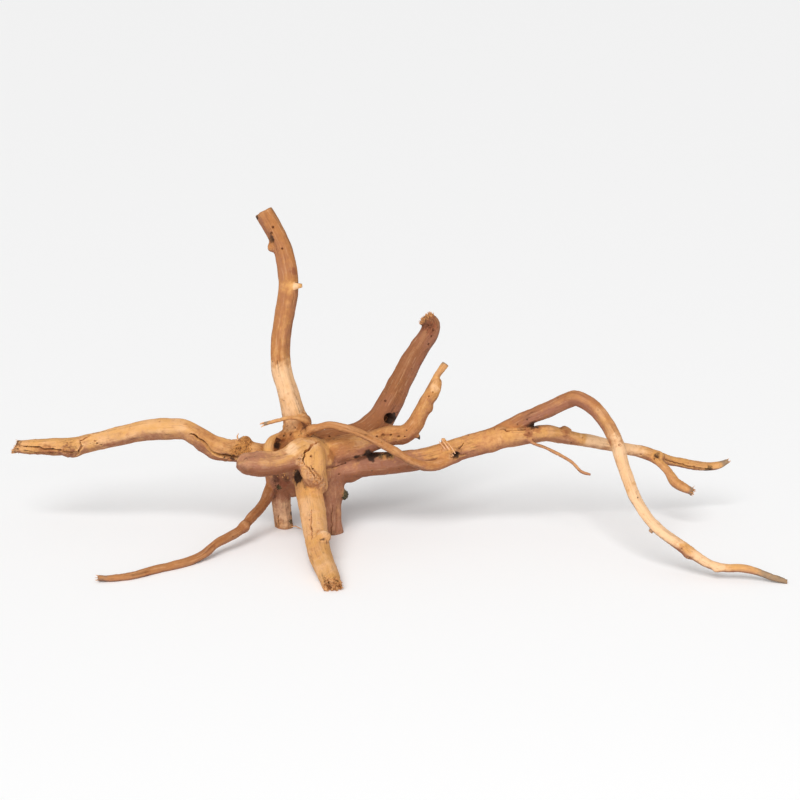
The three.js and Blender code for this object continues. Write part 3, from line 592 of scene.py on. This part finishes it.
def water_worn_wood():
    """Honey wood with a long grain and rotten cracks, painted highlights on its crests, and painted shade on its
    mauve undersides, in its rusty recesses and deep in its cracks.
    """
    material, board, shader = finish("water_worn_wood", 0.7)
    pale, rosy, rust = three(board, "tone")
    # hollow is painted shade, darkest in recesses; torn and cork mark torn and crumbling wood.
    hollow, torn, cork = three(board, "shade_torn_cork")
    # The last is the wood's own dark blotches, with some painted shade under the club and beside the dome.
    weathered, moss, stain_and_shade = three(board, "grey_moss_stain_shade")
    # The first is painted shade in holes, cracks and recesses, with dark rotted ends; bark and seam are real.
    shade_and_rot, bark, seam = three(board, "rot")
    # under paints shade on the undersides and crest paints a highlight on the ridges; rough is the wood's own
    # roughness.
    under, crest, rough = three(board, "lie")
    grain = board.node("ShaderNodeAttribute", {"attribute_name": "grain"}, out="Vector")
    place = board.stretch(board.node("ShaderNodeTexCoord", out="Object"), (1000, 1000, 1000))

    blush = board.speckle(place, (0.03, 0.03, 0.03), 2)
    clouds = board.speckle(place, (0.075, 0.075, 0.075), 3)
    mottle = board.speckle(place, (0.3, 0.3, 0.3), 5, 0.62)
    grit = board.speckle(place, (1.7, 1.7, 1.7), 3, 0.6)
    bands = board.speckle(grain, (0.24, 0.24, 0.02), 4)
    streaks = board.speckle(grain, (0.85, 0.85, 0.05), 4, 0.6)
    fibres = board.speckle(grain, (3.2, 3.2, 0.16), 3, 0.6)
    lines = board.speckle(grain, (0.55, 0.55, 0.022), 3)
    middle = board.node("ShaderNodeMath", {"operation": "ABSOLUTE"}, {0: lines - 0.5})
    check = (1 - board.rise(middle, 0.003, 0.014)) * board.rise(bands, 0.54, 0.66) * seam
    cells = board.stretch(place, (0.13, 0.13, 0.13))
    spot = board.node("ShaderNodeTexVoronoi", {}, {"Vector": cells, "Scale": 1})
    pin = (1 - board.rise(spot, 0.05, 0.11)) * board.rise(clouds, 0.47, 0.6)

    clouded, mottled, gritted, banded, streaked = (
        signal - 0.5 for signal in (clouds, mottle, grit, bands, streaks))
    colour = board.blend(board.rise(clouds + 0.4 * mottled, 0.4, 0.62), HONEY, AMBER)
    # Crests get a painted highlight and undersides painted shade: less rust and mauve and more pale on crests,
    # more mauve underneath.
    rusty = rust + 0.9 * mottled + 0.6 * banded + 0.6 * clouded - 0.1 * crest
    palest = pale + 0.6 * banded + 0.5 * clouded + 0.08 * crest
    pinkish = rosy + 0.7 * under + 1.2 * (blush - 0.5) + 0.8 * mottled - 0.2 * crest
    barky = board.blend(grit, RUST, PALE)
    corky = board.blend(board.rise(grit, 0.3, 0.56), UMBER, CORK)
    fibrous = board.blend(streaks, FRESH, RUST)
    # One coat over another: what calls for it, where it begins and is full, how much of it, its colour.
    for felt, start, full, share, coat in (
        (rusty, 0.1, 1.0, 0.95, RUST),
        # Rust past about 1 turns to SHADE, painted shade.
        (rusty, 0.9, 2.1, 0.7, SHADE),
        (palest, 0.15, 0.95, 0.9, PALE),
        (pinkish, 0.3, 1.2, 0.9, MAUVE),
        # Painted shade on the undersides.
        (under + 0.5 * rosy + 0.5 * mottled, 0.6, 1.4, 0.75, SHADE),
        (streaks, 0.54, 0.74, seam * 0.42, UMBER),
        (streaks, 0.46, 0.28, seam * 0.25, PALE),
        (fibres, 0.56, 0.72, seam * 0.25, UMBER),
        (mottle + 0.3 * gritted, 0.55, 0.75, 0.5, RUST),
        # Painted highlight on the crests.
        (crest, 0.3, 1, 0.08, PALE),
        (bark + 0.5 * mottled, 0.25, 0.7, 0.8, barky),
        (cork + 0.5 * mottled, 0.2, 0.7, 1, corky),
        # Dark blotches, partly painted shade under the club and beside the dome.
        (stain_and_shade + 1.2 * mottled + 1.2 * streaked, 0.35, 1.1, 0.6, WINE),
        (rough + 1.6 * mottled + 0.8 * gritted, 0.75, 1.25, 0.55, UMBER),
        (torn + 0.4 * gritted, 0.3, 0.8, 0.55, fibrous),
        (weathered + 0.8 * mottled, 0.15, 0.9, 0.85, WEATHERED),
        (moss + 0.9 * mottled, 0.3, 0.75, 0.85, MOSS),
        # Painted shade in recesses.
        (hollow + 0.35 * mottled, 0.1, 0.85, 0.8, UMBER),
    ):
        colour = board.blend(board.rise(felt, start, full) * share, colour, coat)
    # Black pits and grain checks, and painted shade in holes, cracks and recesses.
    shade_and_rot_mask = board.rise(shade_and_rot + 0.5 * mottled, 0.25, 0.85)
    dark = board.most(board.most(pin * 0.85, check * 0.5), shade_and_rot_mask)
    colour = board.blend(dark * 0.93, colour, BLACK_ROT_AND_SHADE)
    board.feed(shader.inputs["Base Color"], colour)
    matt = 0.62 + 0.2 * board.rise(mottle, 0.3, 0.7) + 0.15 * board.most(cork, torn)
    board.feed(shader.inputs["Roughness"], matt)
    gritty = grit * (0.12 + 0.8 * cork + 0.4 * bark)
    height = fibres * seam * 0.35 + streaks * seam * 0.8 + mottle * 0.9 + gritty
    height = height - check * 0.9 - pin * 1.2 + rough * (mottle + 0.6 * grit)
    bump = board.node("ShaderNodeBump", {}, {"Strength": 0.8, "Distance": 0.0009, "Height": height})
    board.feed(shader.inputs["Normal"], bump)
    return material


def crumb_finish(name, dark, light, roughness):
    """One rough stuff, darker and lighter from grain to grain."""
    material, board, shader = finish(name, roughness)
    place = board.stretch(board.node("ShaderNodeTexCoord", out="Object"), (1000, 1000, 1000))
    clumps = board.speckle(place, (0.7, 0.7, 0.7), 3)
    grit = board.speckle(place, (4, 4, 4), 3, 0.65)
    colour = board.blend(board.rise(clumps + 0.4 * (grit - 0.5), 0.32, 0.68), dark, light)
    board.feed(shader.inputs["Base Color"], colour)
    bump = board.node("ShaderNodeBump", {}, {"Strength": 0.5, "Distance": 0.0002, "Height": grit})
    board.feed(shader.inputs["Normal"], bump)
    return material


def plain_mesh(obj, name):
    """The mesh that an object shows, modifiers and all. The object itself goes."""
    view = bpy.context.evaluated_depsgraph_get()
    view.update()
    mesh = bpy.data.meshes.new_from_object(obj.evaluated_get(view), depsgraph=view)
    mesh.name = name
    bpy.data.objects.remove(obj)
    return mesh


def shown(name, data):
    """A new object at the origin that holds the mesh or curve."""
    obj = bpy.data.objects.new(name, data)
    bpy.context.scene.collection.objects.link(obj)
    return obj


class Bench:
    """A node group that works on an object, with a signal for the shape that goes in and for each dial."""

    def __init__(self, title, dials):
        self.tree = bpy.data.node_groups.new(title, "GeometryNodeTree")
        self.dials, self.board, self.keys = dials, Board(self.tree), {}
        for label, (kind, _) in {"Shape": ("NodeSocketGeometry", None), **dials}.items():
            socket = self.tree.interface.new_socket(label, in_out="INPUT", socket_type=kind)
            self.keys[label] = socket.identifier
        self.tree.interface.new_socket("Result", in_out="OUTPUT", socket_type="NodeSocketGeometry")
        inlet = self.tree.nodes.new("NodeGroupInput")
        self.signals = {label: Signal(self.board, inlet.outputs[label]) for label in self.keys}

    def work(self, holder, name, result, material):
        """The mesh that the group makes of the object, dressed in the material."""
        dressed = self.board.node("GeometryNodeSetMaterial", {}, {"Geometry": result, "Material": material})
        self.board.feed(self.tree.nodes.new("NodeGroupOutput").inputs["Result"], dressed)
        modifier = holder.modifiers.new("work", "NODES")
        modifier.node_group = self.tree
        for label, (_, value) in self.dials.items():
            modifier[self.keys[label]] = value
        return plain_mesh(holder, name)


def sweep(name, lines, sides, material=None):
    """Round rods along the lines, each a list of points and radii in millimetres, swept by a node tree."""
    data = bpy.data.curves.new(name, "CURVE")
    data.dimensions = "3D"
    for line in lines:
        spline = data.splines.new("POLY")
        spline.points.add(len(line) - 1)
        for point, (x, y, z, radius) in zip(spline.points, line):
            point.co = (x * MM, y * MM, z * MM, 1)
            point.radius = radius * MM
    rods = shown(name, data)
    bench = Bench("sweep_" + name, {"Sides round a rod": ("NodeSocketInt", sides)})
    board, count = bench.board, bench.signals["Sides round a rod"]
    circle = board.node("GeometryNodeCurvePrimitiveCircle", {}, {"Resolution": count, "Radius": 1})
    radius = board.node("GeometryNodeInputRadius")
    wall = {"Curve": bench.signals["Shape"], "Profile Curve": circle, "Scale": radius, "Fill Caps": True}
    return bench.work(rods, name, board.node("GeometryNodeCurveToMesh", {}, wall), material)


def fused_limbs():
    """All the limbs swept, run on past their ends, and fused into a single tight skin."""
    lines = []
    for course in COURSES:
        pick = np.unique(np.r_[0 : len(course.points) : 3, len(course.points) - 1])
        line = [(*course.points[i], max(course.radii[i], THINNEST)) for i in pick]
        tip, way, radius = course.points[-1], course.along[-1], course.radii[-1]
        if course.end == "worn":
            line.append((*(tip + way * radius * 0.6), radius * 0.8))
            line.append((*(tip + way * radius * 0.95), radius * 0.35))
        if course.end == "broken":
            line.append((*(tip + way * radius * 0.5), radius * 0.9))
        lines.append(line)
    for x, y, z, rx, ry, rz, _ in KNOTS:
        steps = np.linspace(-0.95, 0.95, 9)
        lines.append([(x, y, z + t * rz, (rx + ry) / 2 * np.sqrt(1 - t * t)) for t in steps])
    holder = shown("swept", sweep("limbs", lines, 20))
    remesh = holder.modifiers.new("fuse", "REMESH")
    remesh.mode = "VOXEL"
    remesh.voxel_size = CELL * MM
    return plain_mesh(holder, "root_wood")


def read(rows, field, width=1, kind=np.int32):
    """One field of all the vertices, edges, faces or corners of a mesh."""
    values = np.empty(len(rows) * width, kind)
    rows.foreach_get(field, values)
    return values.reshape(-1, width) if width > 1 else values


def places(mesh):
    """The places of a mesh's vertices, in millimetres."""
    return read(mesh.vertices, "co", 3, np.float32).astype(float) / MM


def put(mesh, p):
    """Moves a mesh's vertices to the places given in millimetres."""
    mesh.vertices.foreach_set("co", (p * MM).astype(np.float32).ravel())
    mesh.update()


def in_block(p):
    """The points p, each brought inside the block that the solid model fills."""
    return np.clip(p, np.array(low) / MM, np.array(high) / MM)


def normals(mesh):
    """The way out of the mesh at each of its vertices."""
    return read(mesh.vertex_normals, "vector", 3, np.float32).astype(float)


def from_line(p, line):
    """Distance of the points p from a line, and their share of the way along it."""
    apart, share = np.full(len(p), 99.0), np.zeros(len(p))
    near = np.flatnonzero(((p > line.min(0) - 7) & (p < line.max(0) + 7)).all(1))
    q, run = p[near], 0
    best, where = np.full(len(q), 99.0), np.zeros(len(q))
    for a, b in zip(line[:-1], line[1:]):
        step = b - a
        length = max(np.linalg.norm(step), 1e-6)
        t = np.clip((q - a) @ step / length**2, 0, 1)
        distance = np.linalg.norm(q - a - t[:, None] * step, axis=1)
        closer = distance < best
        best[closer], where[closer] = distance[closer], run + t[closer] * length
        run += length
    apart[near], share[near] = best, where / run
    return apart, share


def on_skin(tree, line):
    """A line stepped finely, with every point brought onto the skin."""
    line = np.array(line, float)
    steps = []
    for a, b in zip(line[:-1], line[1:]):
        count = max(1, round(np.linalg.norm(b - a) / CRACK_STEP))
        steps += [a + (b - a) * t / count for t in range(count)]
    steps.append(line[-1])
    return np.array([tree.find(point)[0] for point in steps])


@contextmanager
def opened(mesh):
    """The mesh opened to be cut, and written back afterwards."""
    model = bmesh.new()
    model.from_mesh(mesh)
    yield model
    model.to_mesh(mesh)
    model.free()
    mesh.update()


def refine(mesh, close):
    """Halves the edges whose two ends are close to fine detail."""
    with opened(mesh) as model:
        edges = [e for e in model.edges if close[e.verts[0].index] and close[e.verts[1].index]]
        bmesh.ops.subdivide_edges(model, edges=edges, cuts=1, use_grid_fill=True)


def stand_flat(mesh):
    """Cuts away what lies under the ground and closes the soles."""
    with opened(mesh) as model:
        whole = [*model.verts, *model.edges, *model.faces]
        bmesh.ops.bisect_plane(model, geom=whole, plane_co=(0, 0, 0), plane_no=(0, 0, 1), clear_inner=True)
        bmesh.ops.holes_fill(model, edges=[e for e in model.edges if e.is_boundary], sides=0)
        bmesh.ops.triangulate(model, faces=[f for f in model.faces if len(f.verts) > 4])


def evened(mesh, values, rounds):
    """Values on the vertices, each averaged again and again with its neighbours."""
    a, b = read(mesh.edges, "vertices", 2).T
    count = np.bincount(a, minlength=len(values)) + np.bincount(b, minlength=len(values))
    for _ in range(rounds):
        columns = []
        for column in values.T:
            around = np.bincount(a, column[b], len(values)) + np.bincount(b, column[a], len(values))
            columns.append((around / np.maximum(count, 1) + column) / 2)
        values = np.stack(columns, 1)
    return values


def zone(p, name):
    """How strongly one of the zones is felt at the points p, with ragged borders."""
    felt = np.zeros(len(p))
    ragged = 0.22 * noise(p * 0.35, 21) + 0.14 * noise(p * 0.9, 22)
    for x, y, z, reach, strength in ZONES[name]:
        apart = np.linalg.norm(p - (x, y, z), axis=1) / reach + ragged
        felt = np.maximum(felt, strength * ease(1.1, 0.45, apart))
    return felt


def read_skin(p):
    """The limb that owns each point, all grains, how clear of a seam it is, its tones, and torn ends."""
    size = len(p)
    first, second = np.full(size, 99.0), np.full(size, 99.0)
    owner, torn, weight = np.zeros(size, int), np.zeros(size), np.full(size, 1e-9)
    tone, grains, along = np.zeros((size, 2)), [], np.zeros((size, 3))
    for course in COURSES:
        near = course.near(p)
        distance, _, grain, share = course.measure(p[near])
        whole = np.zeros((size, 3))
        whole[near] = grain
        grains.append(whole)
        closer = distance < first[near]
        second[near] = np.where(closer, first[near], np.minimum(second[near], distance))
        owner[near[closer]] = course.number
        first[near] = np.minimum(first[near], distance)
        felt = np.exp(-np.clip(distance, -6, 30) / 1.5)
        start, tip = (np.array(t) for t in TONES.get(course.name, ((0.3, 0.4), (0.3, 0.4))))
        tone[near] += felt[:, None] * (start + (tip - start) * share[:, None])
        weight[near] += felt
        if course.end == "broken":
            last, radius = course.far[-1], course.radii[-1]
            end = ease(last - 0.5 * radius, last - 0.05 * radius, grain[:, 2]) * (distance < 2)
            torn[near] = np.maximum(torn[near], end)
            along[near[end > 0]] = course.along[-1]
    return owner, grains, ease(0.2, 2.2, second - first), tone / weight[:, None], torn, along


def keep(mesh, name, values, kind="FLOAT_VECTOR", domain="POINT"):
    """Keeps an attribute of the mesh: three values, or one, for each point or corner."""
    layer = mesh.attributes.new(name, kind, domain)
    field = "vector" if kind == "FLOAT_VECTOR" else "value"
    layer.data.foreach_set(field, values.astype(np.float32).ravel())


def root_skin(material):
    """The whole root as one skin, with its hollows, cracks, worm holes, ridges and worn places, and masks for its
    painted shade and painted highlights.
    """
    skin = fused_limbs()
    p = settle(places(skin), 4)
    put(skin, p)
    tree = kdtree.KDTree(len(p))
    for i, point in enumerate(p):
        tree.insert(point, i)
    tree.balance()
    cracks = [(wide, deep, on_skin(tree, line)) for wide, deep, line in CRACKS]
    holes = [(np.array(tree.find((x, y, z))[0]), wide, deep) for x, y, z, wide, deep in HOLES]
    ends = [(c.points[-1], c.radii[-1] + 1.5) for c in COURSES if c.end == "broken"]
    for reach in (3.4, 2.2):
        close = np.zeros(len(p), bool)
        for wide, _, line in cracks:
            close |= from_line(p, line)[0] < wide + reach
        for middle, wide, _ in holes:
            close |= np.linalg.norm(p - middle, axis=1) < wide + reach - 0.6
        if reach > 3:
            for tip, around in ends:
                close |= np.linalg.norm(p - tip, axis=1) < around
            close |= (zone(p, "cork") > 0.3) | (zone(p, "bark") > 0.3) | (zone(p, "rough") > 0.75)
        refine(skin, close)
        p = places(skin)
    p = settle(p, 2)
    put(skin, p)

    owner, grains, seam, _, torn, _ = read_skin(p)
    own = np.stack(grains)[owner, np.arange(len(p))]
    out = normals(skin)
    ridge = noise(own * (0.3, 0.3, 0.035), 1) + 0.6 * noise(own * (0.7, 0.7, 0.06), 2)
    lump = 0.42 * noise(p / 10, 3) + 0.28 * noise(p / 5, 4)
    cork, bark = zone(p, "cork"), zone(p, "bark")
    gnarl = cork * (0.9 * noise(p / 2.2, 7) + 0.5 * noise(p / 1.2, 8))
    gnarl += bark * 0.5 * noise(p / (3, 3, 1.6), 9)
    pitted = zone(p, "rough") * (0.8 * noise(p / 3, 10) + 0.55 * noise(p / 1.6, 11))
    rise = 0.3 * ridge * seam + lump + gnarl + pitted
    rise += torn * 0.7 * noise(own * (1.1, 1.1, 0.2), 12)
    crooked = p + wander(p, 2.6, 31) * 0.45
    for wide, deep, line in cracks:
        apart, share = from_line(crooked, line)
        width = wide * (0.35 + 0.65 * np.sqrt(np.clip(np.sin(np.pi * np.clip(share, 0.02, 0.98)), 0, 1)))
        cut = 1 - ease(width * 0.55, width * 1.15, apart)
        rise += 0.18 * (ease(width * 2.6, width * 1.4, apart)) * (1 - cut) - deep * cut
    for middle, wide, deep in holes:
        cut = 1 - ease(wide * 0.6, wide * 1.1, np.linalg.norm(crooked * 0.4 + p * 0.6 - middle, axis=1))
        rise -= deep * cut
    p = p + out * rise[:, None]
    put(skin, p)
    stand_flat(skin)
    p = in_block(places(skin))
    put(skin, p)
    for polygon in skin.polygons:
        polygon.use_smooth = True

    owner, grains, seam, tone, torn, along = read_skin(p)
    out = normals(skin)
    # How sunk each point lies below its neighbours, near and broad, and which way it faces: masks for painted
    # shade in recesses and under the limbs, and painted highlights on crests.
    fine, broad = evened(skin, p, 8), evened(skin, p, 45)
    smooth_out = evened(skin, out, 10)
    sunk = ((fine - p) * out).sum(1)
    sunk_wide = ((broad - p) * smooth_out).sum(1)
    deep = np.zeros(len(p))
    for wide, _, line in cracks:
        deep = np.maximum(deep, 1 - ease(wide * 0.7, wide * 1.2, from_line(p, line)[0]))
    felt = {name: zone(p, name) for name in ZONES}
    # Painted shade in recesses, cracks and worm holes, with dark rotted ends.
    shade_and_rot = felt["shade_and_rot"]
    for middle, wide, _ in holes:
        shade_and_rot = np.maximum(shade_and_rot, 1 - ease(wide * 0.7, wide * 1.4, np.linalg.norm(p - middle, axis=1)))
    # Painted shade in recesses, small and broad.
    hollow = np.clip(ease(0.12, 0.7, sunk) + 0.6 * ease(0.8, 3.5, sunk_wide), 0, 1)
    # Painted shade deep in the cracks.
    shade_and_rot = np.maximum(shade_and_rot, deep * ease(0.1, 0.5, sunk))
    # Painted highlight on the crests.
    crest = ease(0.1, 0.6, -sunk)
    # Painted shade, stronger where the skin faces down.
    under = ease(0.5, -0.75, smooth_out[:, 2])
    rosy, rust = np.maximum(tone[:, 0], felt["rosy"]), np.maximum(tone[:, 1], felt["rust"])
    fresh, pale = felt["fresh"], felt["pale"]
    torn = np.maximum(torn, fresh)
    along += fresh[:, None] * (-0.35, -0.5, 0.8)
    # Among these masks, the sunk places, the dark holes and cracks and the undersides are painted shade, the
    # crests painted highlight, and some of the dark blotches painted shade.
    for name, values in {
        "tone": (pale, rosy * (1 - 0.6 * pale), rust * (1 - 0.8 * pale)),
        "shade_torn_cork": (hollow, np.maximum(fresh, 0.5 * torn), felt["cork"]),
        "grey_moss_stain_shade": (felt["grey"], felt["moss"], felt["stain_and_shade"]),
        "rot": (shade_and_rot, felt["bark"], seam),
        "lie": (under, crest, felt["rough"]),
    }.items():
        keep(skin, name, np.stack(values, 1))
    keep(skin, "along", along)
    keep(skin, "torn", torn, "FLOAT")
    for name in ("cork", "bark", "moss"):
        keep(skin, name, felt[name], "FLOAT")
    corners = read(skin.loops, "vertex_index")
    starts, totals = (read(skin.polygons, field) for field in ("loop_start", "loop_total"))
    face_owner = np.repeat(owner[corners[starts]], totals)
    keep(skin, "grain", np.stack(grains)[face_owner, corners] + face_owner[:, None] * GRAIN_APART, domain="CORNER")
    skin.materials.clear()
    skin.materials.append(material)
    return skin


def strewn(name, skin, mask, shape, per_square_mm, size, lean, seed, material):
    """Small bits of one shape strewn over the skin where the mask is strong, by a node tree."""
    bench = Bench("strew_" + name, {
        "Bits per square metre": ("NodeSocketFloat", per_square_mm * 1e6),
        "Least size": ("NodeSocketVector", tuple(s * 0.45 * MM for s in size)),
        "Greatest size": ("NodeSocketVector", tuple(s * MM for s in size)),
        "Lean along the grain": ("NodeSocketFloat", lean),
        "Seed": ("NodeSocketInt", seed),
    })
    board, dial = bench.board, bench.signals
    felt = board.node("GeometryNodeInputNamedAttribute", {"data_type": "FLOAT"}, {"Name": mask})
    thick = board.rise(felt, 0.35, 0.9) * dial["Bits per square metre"]
    spread = {"Mesh": dial["Shape"], "Density": thick, "Seed": dial["Seed"]}
    points = board.node("GeometryNodeDistributePointsOnFaces", {}, spread)
    normal = Signal(board, points.socket.node.outputs["Normal"])
    along = board.node("GeometryNodeInputNamedAttribute", {"data_type": "FLOAT_VECTOR"}, {"Name": "along"})
    tilt = {"Min": (-0.7, -0.7, -0.7), "Max": (0.7, 0.7, 0.7), "Seed": dial["Seed"]}
    jitter = board.node("FunctionNodeRandomValue", {"data_type": "FLOAT_VECTOR"}, tilt)
    pull = {0: along, "Scale": dial["Lean along the grain"]}
    leant = board.node("ShaderNodeVectorMath", {"operation": "SCALE"}, pull)
    way = board.node("ShaderNodeVectorMath", {"operation": "ADD"}, {0: normal, 1: jitter})
    way = board.node("ShaderNodeVectorMath", {"operation": "ADD"}, {0: way, 1: leant})
    turned = board.node("FunctionNodeAlignRotationToVector", {"axis": "Z"}, {"Vector": way})
    sizes = {"Min": dial["Least size"], "Max": dial["Greatest size"], "Seed": dial["Seed"]}
    scale = board.node("FunctionNodeRandomValue", {"data_type": "FLOAT_VECTOR"}, sizes)
    if shape == "shard":
        cone = {"Vertices": 5, "Radius Top": 0.12, "Radius Bottom": 1, "Depth": 1}
        bit = board.node("GeometryNodeMeshCone", {}, cone)
    else:
        bit = board.node("GeometryNodeMeshIcoSphere", {}, {"Radius": 1, "Subdivisions": 1})
    inputs = {"Points": points, "Instance": bit, "Rotation": turned, "Scale": scale}
    placed = board.node("GeometryNodeInstanceOnPoints", {}, inputs)
    real = board.node("GeometryNodeRealizeInstances", {}, {"Geometry": placed})
    return bench.work(shown(name, skin), name, real, material)


def fitted(name, mesh):
    """A piece of the root made a little uneven, brought inside the block and riding the root."""
    p = places(mesh)
    put(mesh, in_block(p + wander(p, 0.8, 41) * 0.12))
    piece = shown(name, mesh)
    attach(piece, next(iter(frame["bodies"])))


def light(name, kind, place, power, spread):
    """A soft lamp that faces the root."""
    data = bpy.data.lights.new(name, kind)
    data.energy = power
    if kind == "SUN":
        data.angle = spread
    else:
        data.size = spread
    lamp = shown(name, data)
    lamp.location = place
    lamp.rotation_euler = (Vector((0, 0, 0.08)) - Vector(place)).to_track_quat("-Z", "Y").to_euler()


def studio():
    """White ground, soft light from the front and above, and the camera where the photograph was taken."""
    light("sky_light", "SUN", (-0.4, -1.3, 1.5), 2.3, 0.7)
    light("front_light", "AREA", (0.2, -1.5, 0.4), 5, 0.9)
    world = bpy.data.worlds.new("studio")
    world.use_nodes = True
    world.node_tree.nodes["Background"].inputs["Color"].default_value = (1, 1, 1, 1)
    world.node_tree.nodes["Background"].inputs["Strength"].default_value = 0.42
    bpy.context.scene.world = world
    bpy.context.scene.view_settings.view_transform = "Standard"
    mesh = bpy.data.meshes.new("floor")
    corners = [(x * FLOOR, y * FLOOR, 0) for x, y in ((-1, -1), (1, -1), (1, 1), (-1, 1))]
    mesh.from_pydata(corners, [], [(0, 1, 2, 3)])
    paper, _, shader = finish("paper", 0.9)
    shader.inputs["Base Color"].default_value = (0.96, 0.96, 0.96, 1)
    mesh.materials.append(paper)
    shown("floor", mesh)
    data = bpy.data.cameras.new("camera")
    data.lens = CAMERA_LENS
    data.sensor_width = 36
    camera = shown("camera", data)
    camera.location = CAMERA_PLACE
    camera.rotation_euler = (CAMERA_AIM - camera.location).to_track_quat("-Z", "Y").to_euler()
    bpy.context.scene.camera = camera


wood_finish = water_worn_wood()
skin = root_skin(wood_finish)
wood = shown("root_wood", skin)
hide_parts("driftwood_root")
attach(wood, next(iter(frame["bodies"])))

shards = crumb_finish("torn_wood", RUST, AMBER, 0.85)
fibres = crumb_finish("loose_fibres", AMBER, STRAW, 0.9)
crumbs = crumb_finish("crumbling_cork", UMBER, CORK, 0.95)
flakes = crumb_finish("flaking_bark", RUST, AMBER, 0.9)
tufts = crumb_finish("moss_and_dirt", BLACK_ROT_AND_SHADE, MOSS, 0.95)
fitted("splinters", strewn("splinters", skin, "torn", "shard", 0.7, (0.4, 0.3, 2.4), 2.4, 3, shards))
fitted("cork_crumbs", strewn("cork_crumbs", skin, "cork", "crumb", 1.1, (0.6, 0.6, 0.6), 0, 5, crumbs))
fitted("bark_flakes", strewn("bark_flakes", skin, "bark", "crumb", 0.5, (0.9, 1.1, 0.3), 0, 7, flakes))
fitted("moss_tufts", strewn("moss_tufts", skin, "moss", "crumb", 0.9, (0.45, 0.45, 0.9), 0, 9, tufts))
fitted("root_fibres", sweep("root_fibres", FIBRES, 6, fibres))

studio()
